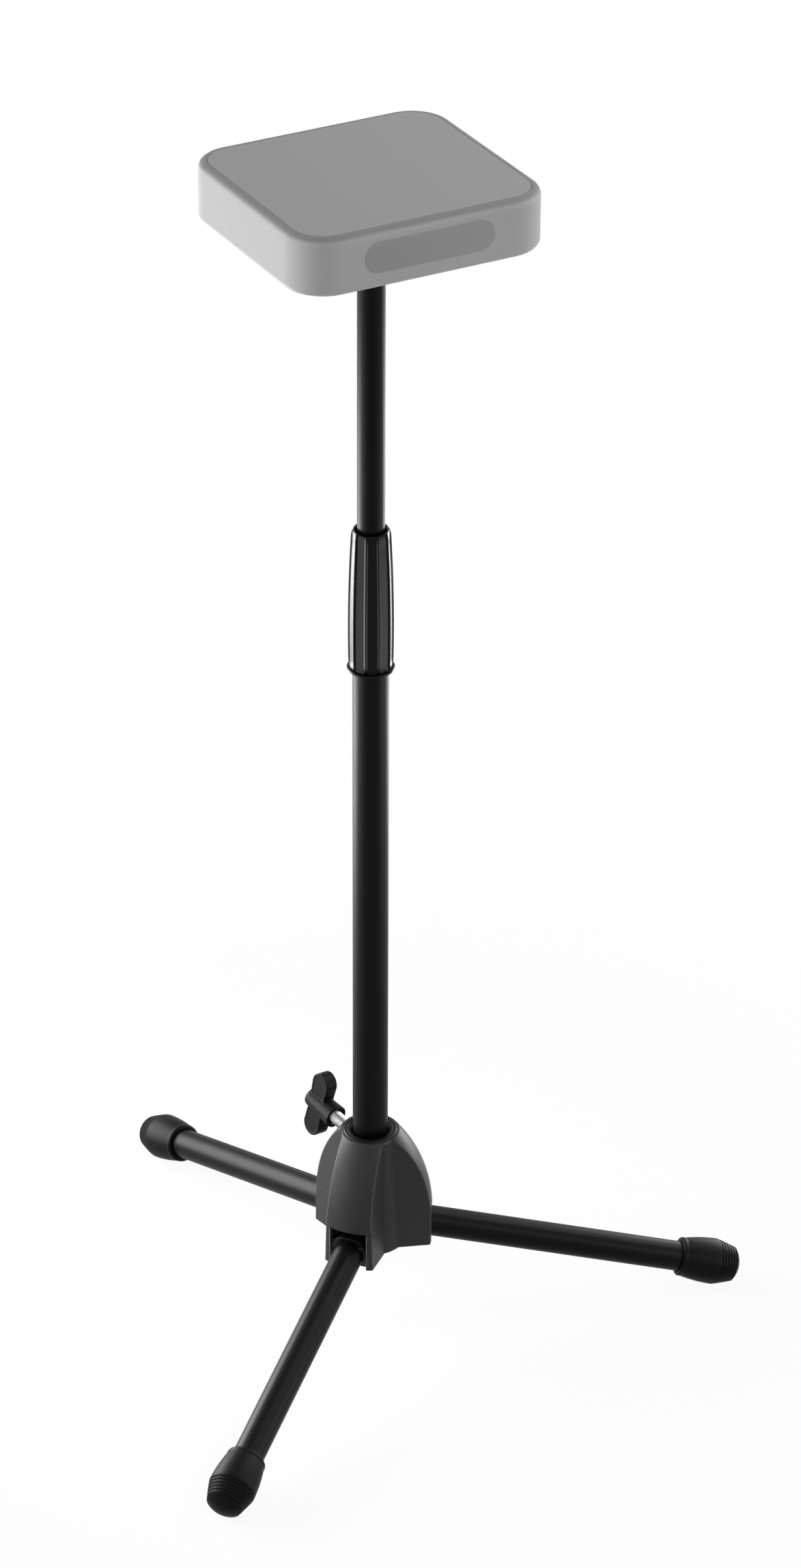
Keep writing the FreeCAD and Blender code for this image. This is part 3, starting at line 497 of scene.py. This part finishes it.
def sleeve_profile(length):
    """Grip sleeve from its bore round the lip, up the ribbed skin, over the crown and down the mouth."""
    bore, mouth, lip = SLEEVE_BORE, SLEEVE_MOUTH, SLEEVE_LIP
    crown_at = length - SLEEVE_CROWN
    points = [(bore, 0.0, 0.0), (lip - 1.0, 0.0, 0.0), (lip - 0.3, 0.0, 0.3), (lip, 0.0, 1.0)]
    points += [(lip, 0.0, 1.7), (lip - 0.2, 0.0, 2.2)]
    skin = bow((SLEEVE_LOW, SLEEVE_LIP_LENGTH), (SLEEVE_WIDE, SLEEVE_WIDE_AT), (SLEEVE_HIGH, crown_at),
               SLEEVE_ROWS)
    for radius, height in skin:
        mask = min(1.0, max(0.0, (height - SLEEVE_LIP_LENGTH) / RIB_RUN_OUT))
        points.append((radius - RIB_HEIGHT, mask, height))
    shoulder = SLEEVE_HIGH - RIB_HEIGHT
    for step in range(1, SLEEVE_CROWN_ROWS + 1):
        angle = math.pi / 2 * step / SLEEVE_CROWN_ROWS
        points.append((SLEEVE_TOP + (shoulder - SLEEVE_TOP) * math.cos(angle), math.cos(angle),
                       crown_at + SLEEVE_CROWN * math.sin(angle)))
    points += [(mouth + 0.4, 0.0, length), (mouth, 0.0, length - 0.4)]
    points += [(mouth, 0.0, length - SLEEVE_MOUTH_LENGTH), (bore, 0.0, length - SLEEVE_CONE_END)]
    return points + [(bore, 0.0, 0.0)]


def grip_sleeve():
    """Clutch grip: a barrel of ten flats with a rib at each corner, a lip below and a rounded crown."""
    low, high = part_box("grip_sleeve")
    mesh = turned_mesh("grip_sleeve_ribbed", sleeve_profile((high.z - low.z) / MM), "grip_plastic",
                       segments=SLEEVE_SEGMENTS, rib_count=RIB_COUNT, rib_width=RIB_WIDTH * MM,
                       rib_edge=RIB_EDGE * MM, rib_height=RIB_HEIGHT * MM,
                       rib_phase=0.5 - RIB_TURN * RIB_COUNT / 360, flatness=1.0)
    mesh.transform(on_column(low.z))
    set_piece("grip_sleeve_ribbed", mesh, "grip", "grip_plastic", "grip_sleeve", crease=28)


# Feet

FOOT_BORE, FOOT_SOCKET, FOOT_RIM = 11.12, 31.6, 14.4
FOOT_FLARE_AT, FOOT_WIDE, FOOT_WIDE_AT = 3.4, 17.2, 27.7
FOOT_END, FOOT_END_AT, FOOT_TIP = 13.0, 42.4, 47.1
FOOT_RIBS, FOOT_GROOVE, FOOT_SLACK = 6, 0.65, 0.15
FOOT_FLARE_ROWS, FOOT_RIB_ROWS, FOOT_DOME_ROWS = 16, 8, 10


def foot_profile():
    """Rubber foot from its socket's floor round the rim, along the flare and ribs to the domed end."""
    bore, rim, wide, end = FOOT_BORE, FOOT_RIM, FOOT_WIDE, FOOT_END
    points = [(0.0, FOOT_SOCKET), (bore, FOOT_SOCKET), (bore, 0.5), (bore + 0.4, 0.0), (rim - 1.5, 0.0)]
    points += [(rim - 0.75, 0.25), (rim - 0.2, 0.8), (rim, 1.6), (rim, 2.6), (rim - 0.1, 3.0)]
    points.append((rim - FOOT_SLACK, FOOT_FLARE_AT))
    for step in range(1, FOOT_FLARE_ROWS + 1):
        share = step / FOOT_FLARE_ROWS
        swell = math.sin(share * math.pi / 2) ** 0.85
        points.append((rim - FOOT_SLACK + (wide - rim) * swell,
                       FOOT_FLARE_AT + (FOOT_WIDE_AT - FOOT_FLARE_AT) * share))
    rib_rows = FOOT_RIBS * FOOT_RIB_ROWS
    for step in range(1, rib_rows + 1):
        share = step / rib_rows
        wave = max(0.0, 2 * (step % FOOT_RIB_ROWS) / FOOT_RIB_ROWS - 1)
        dip = FOOT_GROOVE * math.sin(math.pi * wave) ** 0.8
        points.append((wide - FOOT_SLACK + (end - wide) * share ** 1.12 - dip,
                       FOOT_WIDE_AT + (FOOT_END_AT - FOOT_WIDE_AT) * share))
    rise = FOOT_TIP - FOOT_END_AT
    dome = (end ** 2 + rise ** 2) / (2 * rise)
    for step in range(1, FOOT_DOME_ROWS + 1):
        left = 1 - step / FOOT_DOME_ROWS
        angle = math.asin(end / dome) * left
        points.append((max(0.0, dome * math.sin(angle) - FOOT_SLACK * left),
                       FOOT_TIP - dome * (1 - math.cos(angle))))
    return points


def feet():
    """A ribbed rubber foot on each leg, with a flat where it meets the floor."""
    for number in LEGS:
        name = "foot_%d_ribbed" % number
        along = leg_direction(number)
        start = middle("leg_pin_%d" % number) + along * (LEG_ROOT + LEG_SHOWN) * MM
        mesh = turned_mesh(name, foot_profile(), "foot_rubber")
        mesh.transform(standing(start, along))
        for vertex in mesh.vertices:
            vertex.co.z = max(vertex.co.z, 0.0)
        set_piece(name, mesh, "leg_%d" % number, "foot_rubber", "leg_foot_%d" % number, crease=50)


# Clamp screw and wing knob; distances along the screw start at the column's axis

SCREW_START, SCREW_END, SCREW_RADIUS, SCREW_LEAD = 17.4, 58.6, 5.0, 1.4
THREAD_PITCH, THREAD_DEPTH, THREAD_ROWS = 1.5, 0.65, 240
KNOB_START, KNOB_LENGTH = 40.5, 30.0
WING_MIDDLE, WING_OFFSET, WING_RADIUS, WING_THICK = 59.7, 17.7, 8.5, 9.5
WING_WAIST, WING_STEPS = 1.2, 24
WING_RIM, WING_FIELD_DEPTH, WING_CORE = 1.7, 0.9, 0.2
WING_LEAN = math.radians(7.0)
KNOB_VOXEL, KNOB_SOFTENING = 0.3, 3
ALONG_SCREW = Matrix.Rotation(math.pi / 2, 4, "Y")


def clamp_place():
    """Matrix of the clamp screw: X runs out along the rising screw from the column's axis."""
    shank = middle("wing_screw_shank")
    outward = shank - COLUMN
    turn = Matrix.Rotation(math.atan2(outward.y, outward.x), 4, "Z")
    aim = turn @ Matrix.Rotation(-CLAMP_RISE, 4, "Y")
    reach = aim @ Vector(((SCREW_START + SCREW_END) / 2 * MM, 0, 0))
    return Matrix.Translation(shank - reach) @ aim


def wing_screw_shank():
    """Clamp screw with its thread, from its point to the knob's socket."""
    thread_start = SCREW_START + SCREW_LEAD
    points = [(0.0, 0.0, SCREW_START), (SCREW_RADIUS - SCREW_LEAD, 0.0, SCREW_START)]
    for step in range(THREAD_ROWS):
        points.append((SCREW_RADIUS, 1.0, thread_start + (SCREW_END - thread_start) * step / THREAD_ROWS))
    points += [(SCREW_RADIUS - 0.8, 0.0, SCREW_END), (0.0, 0.0, SCREW_END)]
    mesh = turned_mesh("wing_screw_thread", points, "zinc_steel", segments=48,
                       thread_pitch=THREAD_PITCH * MM, thread_depth=THREAD_DEPTH * MM)
    mesh.transform(clamp_place() @ ALONG_SCREW)
    set_piece("wing_screw_thread", mesh, "wing_screw", "zinc_steel", "wing_screw_shank", crease=60)


def wing_outline(inset=0.0):
    """Closed outline of both wings as (along the screw, up), drawn in by an inset."""
    radius = WING_RADIUS - inset
    points = []
    for step in range(WING_STEPS + 1):
        angle = math.pi * step / WING_STEPS
        points.append((radius * math.cos(angle), WING_OFFSET + radius * math.sin(angle)))
    points.append((-radius + WING_WAIST, 0.0))
    points += [(-x, -z) for x, z in points[:-1]]
    points.append((radius - WING_WAIST, 0.0))
    return [(WING_MIDDLE + x, z) for x, z in points]


def at_level(outline, y):
    return [(x, y, z) for x, z in outline]


def add_wings(bm):
    """Adds the plate of both wings, and a raised rim round the field in each of its faces."""
    rim, field = wing_outline(), wing_outline(WING_RIM)
    half = WING_THICK / 2
    near, far = (ring(bm, at_level(rim, y)) for y in (WING_CORE - half, half - WING_CORE))
    wall(bm, near, far)
    bm.faces.new(near)
    bm.faces.new(far)
    for side in (-1, 1):
        low, high = side * (half - WING_FIELD_DEPTH), side * half
        loops = [ring(bm, at_level(outline, y))
                 for outline, y in ((rim, low), (rim, high), (field, high), (field, low))]
        for first, second in sides(loops):
            wall(bm, first, second)


def wing_knob():
    """Wing knob moulding: a tapered barrel and two thick wings with a shallow field in each face."""
    start, end = KNOB_START, KNOB_START + KNOB_LENGTH
    barrel = [(0.0, start + 4.5), (5.6, start + 4.5), (5.9, start + 1.0), (6.7, start), (8.3, start)]
    barrel += [(8.8, start + 0.5), (7.4, end - 2.2), (6.9, end - 0.7), (5.6, end), (0.0, end)]
    mesh = turned_mesh("wing_knob_barrel", barrel, "knob_plastic")
    mesh.transform(ALONG_SCREW)
    bm = bmesh.new()
    bm.from_mesh(mesh)
    add_wings(bm)
    mesh = moulded("wing_knob_moulding", finished(bm, "wing_knob_shells"), KNOB_VOXEL, KNOB_SOFTENING,
                   "knob_plastic")
    mesh.transform(clamp_place() @ Matrix.Rotation(WING_LEAN, 4, "X"))
    set_piece("wing_knob_moulding", mesh, "wing_screw", "knob_plastic", "wing_knob", crease=80)


# Cross-slotted screws

SCREW_SIDES = 32
SLOT_ARM, SLOT_HALF_WIDTH, SLOT_DEPTH, SLOT_TAPER = 0.62, 0.17, 0.55, 0.8
POINT_LENGTH, POINT_TAPER = 0.6, 0.5
PLATE_SCREW_INSET, PAD_CORNER = 10.45, 28.0
HUB_SCREW_CIRCLE = 16.9


def cross_screw(name, head, head_height, shank, length, sunk):
    """Screw along Z with its head down: a cross in the head's face, a cone or a plain rim, and the shank."""
    bm = bmesh.new()
    turns = [FULL_TURN * side / SCREW_SIDES for side in range(SCREW_SIDES)]
    circle = [(head * math.cos(turn), head * math.sin(turn)) for turn in turns]
    arm, slit = head * SLOT_ARM, head * SLOT_HALF_WIDTH
    cross = [(arm, -slit), (arm, slit), (slit, slit), (slit, arm), (-slit, arm), (-slit, slit), (-arm, slit),
             (-arm, -slit), (-slit, -slit), (-slit, -arm), (slit, -arm), (slit, -slit)]

    def level(outline, height, scale=1.0):
        return ring(bm, [(x * scale, y * scale, height) for x, y in outline])

    rim, slot = level(circle, 0.0), level(cross, 0.0)
    face_edges = [bm.edges.new(side) for loop in (rim, slot) for side in sides(loop)]
    bmesh.ops.triangle_fill(bm, use_beauty=True, edges=face_edges)
    deep = level(cross, head_height * SLOT_DEPTH, SLOT_TAPER)
    wall(bm, slot, deep)
    bm.faces.new(deep)
    neck_scale = shank / head
    loops = [rim] if sunk else [rim, level(circle, head_height)]
    loops += [level(circle, head_height, neck_scale),
              level(circle, length - shank * POINT_LENGTH, neck_scale),
              level(circle, length, neck_scale * POINT_TAPER)]
    for first, second in zip(loops, loops[1:]):
        wall(bm, first, second)
    bm.faces.new(loops[-1])
    return finished(bm, name)


def screw_set(name, body, finish, stands_for, screw, places, seed):
    """Plants one screw at each place and keeps them as one piece."""
    model = linked(name + "_model", screw)
    points = bpy.data.meshes.new(name + "_places")
    points.from_pydata([tuple(place) for place in places], [], [])
    mesh = grown(name, points, SCREWS, {"Screw": model, "Seed": seed, "Finish": FINISH[finish]})
    bpy.data.objects.remove(model)
    set_piece(name, mesh, body, finish, stands_for)


def bottom_plate_screws():
    """Six sunk screws round the pad's bottom plate."""
    low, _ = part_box("bottom_plate_screws")
    x, y = PAD_WIDTH / 2 - PLATE_SCREW_INSET, PAD_DEPTH / 2 - PLATE_SCREW_INSET
    spread = PAD_DEPTH / 2 - PAD_CORNER
    spots = [(-x, -spread), (-x, spread), (x, -spread), (x, spread), (0, -y), (0, y)]
    screw = cross_screw("plate_screw", head=3.0, head_height=2.2, shank=1.5, length=16.0, sunk=True)
    screw_set("bottom_plate_cross_screws", "pad", "black_screw", "bottom_plate_screws", screw,
              [pad_place(*spot, low.z) for spot in spots], seed=3)


def hub_screws():
    """Three screws that hold the carrier to the dome, between the lobes."""
    low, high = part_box("hub_screws")
    places = []
    for number in LEGS:
        away = COLUMN - middle("leg_pin_%d" % number)
        away.z = 0
        places.append(Vector((COLUMN.x, COLUMN.y, low.z)) + away.normalized() * HUB_SCREW_CIRCLE * MM)
    screw = cross_screw("hub_screw", head=3.4, head_height=3.0, shank=2.0, length=(high.z - low.z) / MM,
                        sunk=False)
    screw_set("hub_cross_screws", "base", "zinc_steel", "hub_screws", screw, places, seed=5)


# Port panel

PORT_LENGTH, PORT_HEIGHT, PORT_MIDDLE = 95.2, 21.8, (-1.0, 884.0)
# The plate's rounded edge, as (how much smaller than the plate, how far proud of the wall)
PORT_EDGE = ((0.9, 0.32), (0.3, 0.24), (0.0, 0.06), (0.0, 0.0))
PLUG_LENGTH, PLUG_HEIGHT, PLUG_DEPTH = 90.9, 17.0, 4.8
PORT_STEPS = 20


def stadium(length, height, place):
    """Outline of a long round-ended field about a place, as (along the wall, up)."""
    radius, run = height / 2, (length - height) / 2
    points = []
    for side in (1, -1):
        for step in range(PORT_STEPS + 1):
            angle = math.pi * (step / PORT_STEPS - 0.5)
            points.append((side * (run + radius * math.cos(angle)), side * radius * math.sin(angle)))
    return [(place[0] + x, place[1] + z) for x, z in points]


def port_panel():
    """Panel that fills the port: a plug in the slot under a thin round-edged plate on the wall's face."""
    face = -PAD_DEPTH / 2
    levels = []
    for smaller, proud in PORT_EDGE:
        plate = stadium(PORT_LENGTH - smaller, PORT_HEIGHT - smaller, PORT_MIDDLE)
        levels.append((plate, face - proud))
    slot_middle = sum(heights("port_panel")) / 2
    plug = stadium(PLUG_LENGTH, PLUG_HEIGHT, (0.0, slot_middle))
    levels += [(plug, face), (plug, face + PLUG_DEPTH)]
    bm = bmesh.new()
    loops = []
    for outline, y in levels:
        loops.append([bm.verts.new(pad_place(x, y, z * MM)) for x, z in outline])
    for first, second in zip(loops, loops[1:]):
        wall(bm, first, second)
    bm.faces.new(loops[0])
    bm.faces.new(loops[-1][::-1])
    mesh = finished(bm, "port_panel_plate")
    mesh.materials.append(FINISH["port_screen"])
    mesh.shade_smooth()
    set_piece("port_panel_plate", mesh, "pad", "port_screen", "port_panel", crease=40)


# Collar

COLLAR_INNER, COLLAR_OUTER = 16.7, 19.6
WIRE_CIRCLE, WIRE_RADIUS, WIRE_DROP, WIRE_STEPS = 16.48, 0.3, 0.75, 16
COLLAR_SEGMENTS = 160


def collar_ring():
    """Collar at the hub's mouth: rounded outer bead, a step down, a raised inner lip and a wire inside."""
    low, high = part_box("collar_ring")
    top = (high.z - low.z) / MM
    inner, outer = COLLAR_INNER, COLLAR_OUTER
    points = [(inner, 0.0), (outer, 0.0), (outer, top - 1.0), (outer - 0.3, top - 0.4), (outer - 0.9, top)]
    points += [(17.9, top), (17.65, top - 0.1), (17.5, top - 0.6), (17.25, top - 0.6), (17.1, top - 0.1)]
    points += [(16.95, top), (inner + 0.08, top - 0.1), (inner, top - 0.45), (inner, 0.0)]
    mesh = turned_mesh("collar_ring_stepped", points, "black_plastic", segments=COLLAR_SEGMENTS)
    mesh.transform(on_column(low.z))
    set_piece("collar_ring_stepped", mesh, "base", "black_plastic", "collar_ring", crease=50)
    wire = []
    for step in range(WIRE_STEPS + 1):
        angle = FULL_TURN * (step % WIRE_STEPS) / WIRE_STEPS
        wire.append((WIRE_CIRCLE + WIRE_RADIUS * math.cos(angle),
                     top - WIRE_DROP + WIRE_RADIUS * math.sin(angle)))
    mesh = turned_mesh("collar_wire", wire, "black_screw", segments=COLLAR_SEGMENTS)
    mesh.transform(on_column(low.z))
    set_piece("collar_wire", mesh, "base", "black_screw", crease=80)


dress_cad_nodes()
grip_sleeve()
feet()
wing_screw_shank()
wing_knob()
bottom_plate_screws()
port_panel()
hub_screws()
collar_ring()


# Stage, light and camera, in metres

FLOOR_HALF, FLOOR_DROP, FLOOR_GREY = 9, 0.0005, 0.62
FLOOR_WHITE, FLOOR_WHITE_FROM, FLOOR_WHITE_FULL = 0.92, 0.2, 0.9
SKY_FILL, SKY_SEEN = 0.20, 1.0
WHITE = (1, 1, 1, 1)


def seen_rays(n):
    """1 for rays from the camera and from gloss and glass, 0 for those that light the object."""
    path = n("ShaderNodeLightPath").outputs
    shown = n.calc("MAXIMUM", path["Is Glossy Ray"], path["Is Transmission Ray"])
    return n.calc("MAXIMUM", path["Is Camera Ray"], shown)


def floor():
    """Pale floor that is white to the eye, apart from a share near the object that keeps its shadow."""
    half = FLOOR_HALF
    corners = [(-half, -half, 0), (half, -half, 0), (half, half, 0), (-half, half, 0)]
    mesh = bpy.data.meshes.new("floor")
    mesh.from_pydata(corners, [], [(0, 1, 2, 3)])
    piece = linked("floor", mesh)
    piece.location.z = -FLOOR_DROP
    material = bpy.data.materials.new("pale floor")
    material.use_nodes = True
    tree = material.node_tree
    tree.nodes.remove(tree.nodes["Principled BSDF"])
    n = Layout(tree)
    place = n("ShaderNodeTexCoord").outputs["Object"]
    away = n("ShaderNodeVectorMath", {0: place}, operation="LENGTH").outputs["Value"]
    clear = n("ShaderNodeMapRange", {"Value": away, "From Min": FLOOR_WHITE_FROM,
                                     "From Max": FLOOR_WHITE_FULL, "To Min": FLOOR_WHITE, "To Max": 1.0},
              interpolation_type="SMOOTHSTEP").outputs[0]
    plain = n("ShaderNodeBsdfDiffuse", {"Color": (FLOOR_GREY, FLOOR_GREY, FLOOR_GREY, 1)}).outputs[0]
    white = n("ShaderNodeEmission", {"Color": WHITE, "Strength": 1.0}).outputs[0]
    mix = n("ShaderNodeMixShader", {0: n.product(seen_rays(n), clear), 1: plain, 2: white}).outputs[0]
    tree.links.new(mix, tree.nodes["Material Output"].inputs["Surface"])
    mesh.materials.append(material)


def world():
    """White surroundings to the eye and in gloss, and a weak even fill."""
    sky = bpy.data.worlds.new("studio")
    bpy.context.scene.world = sky
    sky.use_nodes = True
    n = Layout(sky.node_tree)
    back = sky.node_tree.nodes["Background"]
    strength = n("ShaderNodeMapRange", {"Value": seen_rays(n), "To Min": SKY_FILL,
                                        "To Max": SKY_SEEN}).outputs[0]
    sky.node_tree.links.new(strength, back.inputs["Strength"])
    back.inputs["Color"].default_value = WHITE


def panel(name, place, aim, width, height, power, spread=180, shine=True, fill=True):
    """Soft light panel that faces a point.

    One with shine only is a strip for the gloss; one with fill only lights the plain surfaces."""
    lamp = bpy.data.lights.new(name, "AREA")
    lamp.shape = "RECTANGLE"
    lamp.size = width
    lamp.size_y = height
    lamp.energy = power
    lamp.spread = math.radians(spread)
    piece = linked(name, lamp)
    piece.location = place
    piece.rotation_euler = (Vector(aim) - Vector(place)).to_track_quat("-Z", "Y").to_euler()
    piece.visible_camera = False
    piece.visible_glossy = shine
    piece.visible_diffuse = fill


HUB_AIM, LEG_AIM, COLUMN_AIM, PAD_AIM = (0, 0.06, 0.08), (0, 0.06, 0.1), (0, 0.06, 0.2), (0, 0, 0.8)


def light():
    """Low strips that draw the tubes' edges, fills for hub and pad wall, and soft panels all round."""
    panel("low left panel", (-0.6, 0.06, 0.24), LEG_AIM, 0.5, 0.46, 11, fill=False)
    panel("low front panel", (-0.42, -0.40, 0.25), (0, 0.06, 0.25), 0.3, 0.46, 1.7, fill=False)
    panel("low right panel", (0.30, 0.74, 0.24), COLUMN_AIM, 0.4, 0.46, 5, fill=False)
    panel("low side panel", (0.62, 0.17, 0.2), COLUMN_AIM, 0.3, 0.36, 1.2, fill=False)
    panel("hub panel", (-0.6, 0.06, 0.24), HUB_AIM, 0.5, 0.46, 2.6, spread=80, shine=False)
    panel("hub front panel", (0.3, -0.75, 0.5), HUB_AIM, 0.4, 0.4, 0.35, spread=70, shine=False)
    panel("wall panel", (-2.2, -0.6, 0.9), PAD_AIM, 1.2, 1.2, 37, shine=False)
    panel("back left panel", (-1.3, 0.65, 0.62), LEG_AIM, 0.6, 0.6, 8)
    panel("back right panel", (0.8, 1.0, 1.4), LEG_AIM, 0.8, 0.9, 11)
    panel("left panel", (-2.3, -0.9, 1.6), PAD_AIM, 1.2, 1.2, 12)
    panel("right panel", (2.2, -1.4, 2.0), PAD_AIM, 1.2, 1.2, 19)
    panel("top panel", (0.2, 0.2, 3.3), (0, 0, 0.4), 1.7, 1.7, 11.5)


# The photograph's camera: its frame is 1173 by 2295 pixels, and the longer side takes the sensor's width
FRAME_HEIGHT, FOCAL_LENGTH_PIXELS = 2295, 7500
SENSOR_WIDTH = 36.0
CAMERA_PLACE = (1.15274, -2.80263, 2.21173)
CAMERA_HEADING, CAMERA_DIP, CAMERA_ROLL = math.radians(21.9) - 0.0067, 0.5195, 0.0046


def camera():
    lens = bpy.data.cameras.new("camera")
    lens.sensor_width = SENSOR_WIDTH
    lens.lens = SENSOR_WIDTH * FOCAL_LENGTH_PIXELS / FRAME_HEIGHT
    lens.clip_start, lens.clip_end = 0.05, 100
    piece = linked("camera", lens)
    heading = Matrix.Rotation(CAMERA_HEADING, 4, "Z")
    tilt = Matrix.Rotation(math.pi / 2 - CAMERA_DIP, 4, "X")
    roll = Matrix.Rotation(CAMERA_ROLL, 4, "Z")
    piece.matrix_world = Matrix.Translation(CAMERA_PLACE) @ heading @ tilt @ roll
    bpy.context.scene.camera = piece


floor()
world()
light()
camera()
bpy.context.scene.view_settings.view_transform = "Standard"

bpy.context.view_layer.update()
